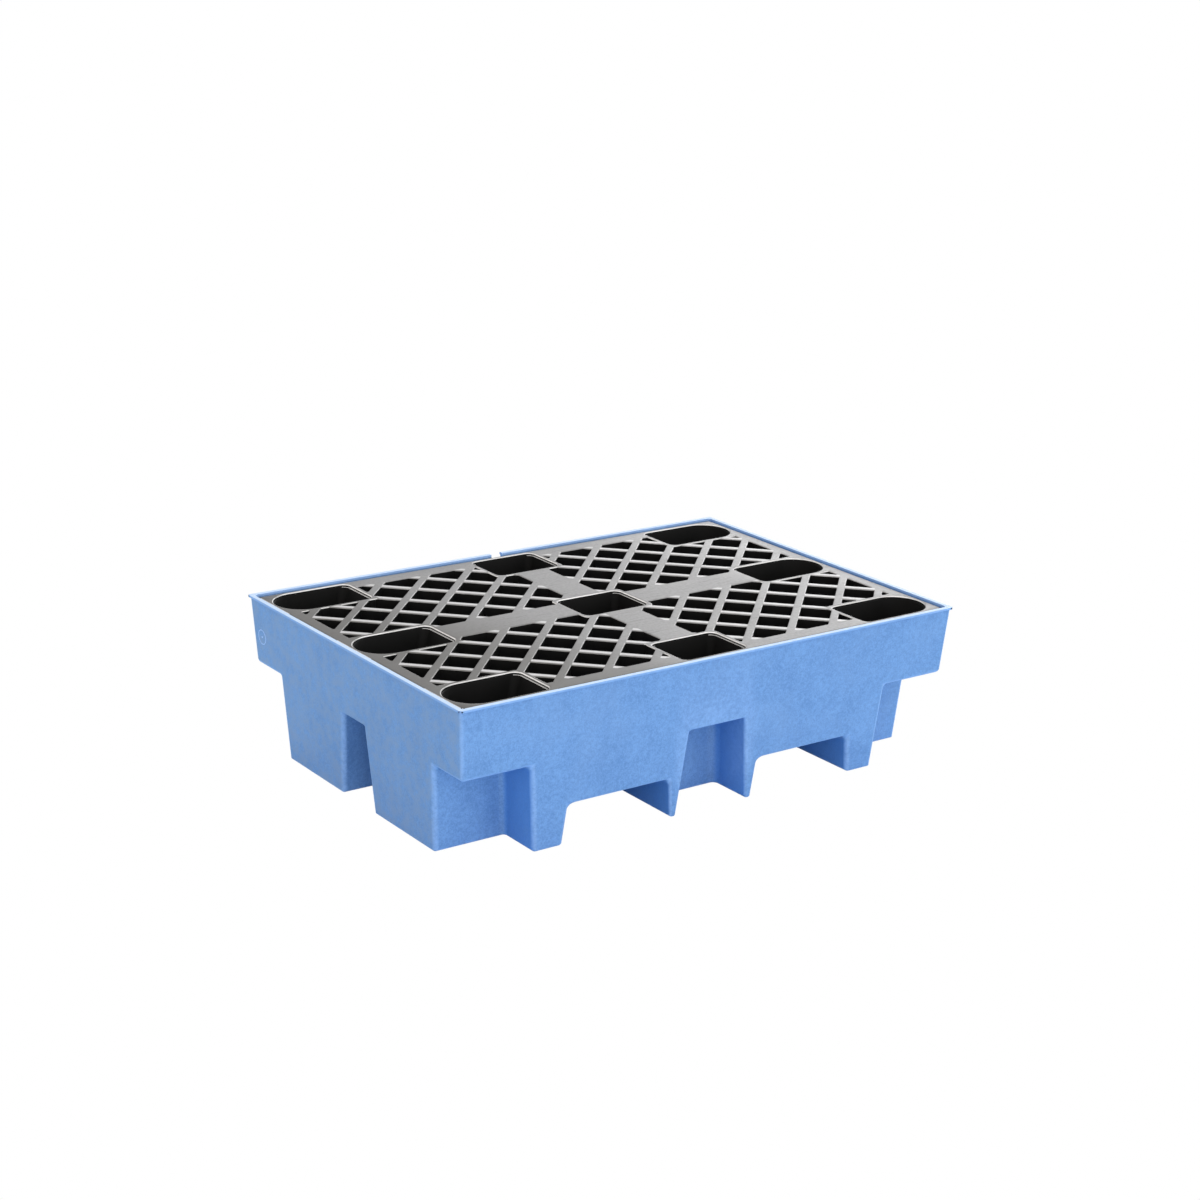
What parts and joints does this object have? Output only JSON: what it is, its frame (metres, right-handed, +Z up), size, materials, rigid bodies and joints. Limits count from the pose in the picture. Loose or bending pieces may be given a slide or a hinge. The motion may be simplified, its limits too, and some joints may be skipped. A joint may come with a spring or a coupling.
{
  "type": "spill containment pallet",
  "caption": "Plastic spill sump with fork channels and a lift-out lattice pallet deck, for standing drums and cans over a basin that catches leaks.",
  "frame": {"origin": "on the floor, under the middle of the tray", "axes": "+X along the length, +Y across the width towards the side with the notched rim, +Z up"},
  "size_m": [1.23, 0.834, 0.33],
  "materials": {
    "tray_plastic": "blue rotationally moulded polyethylene, matte, finely mottled",
    "deck_plastic": "black injection moulded polyethylene, satin, lightly scuffed on top"
  },
  "bodies": {
    "tray": {"sump_tray": "tray_plastic"},
    "deck": {"deck_grid": "deck_plastic", "deck_feet": "deck_plastic"}
  },
  "joints": [
    {"name": "deck_lift", "type": "slide", "parent": "tray", "child": "deck", "axis": [0, 0, 1], "range_m": [0, 0.45]}
  ]
}
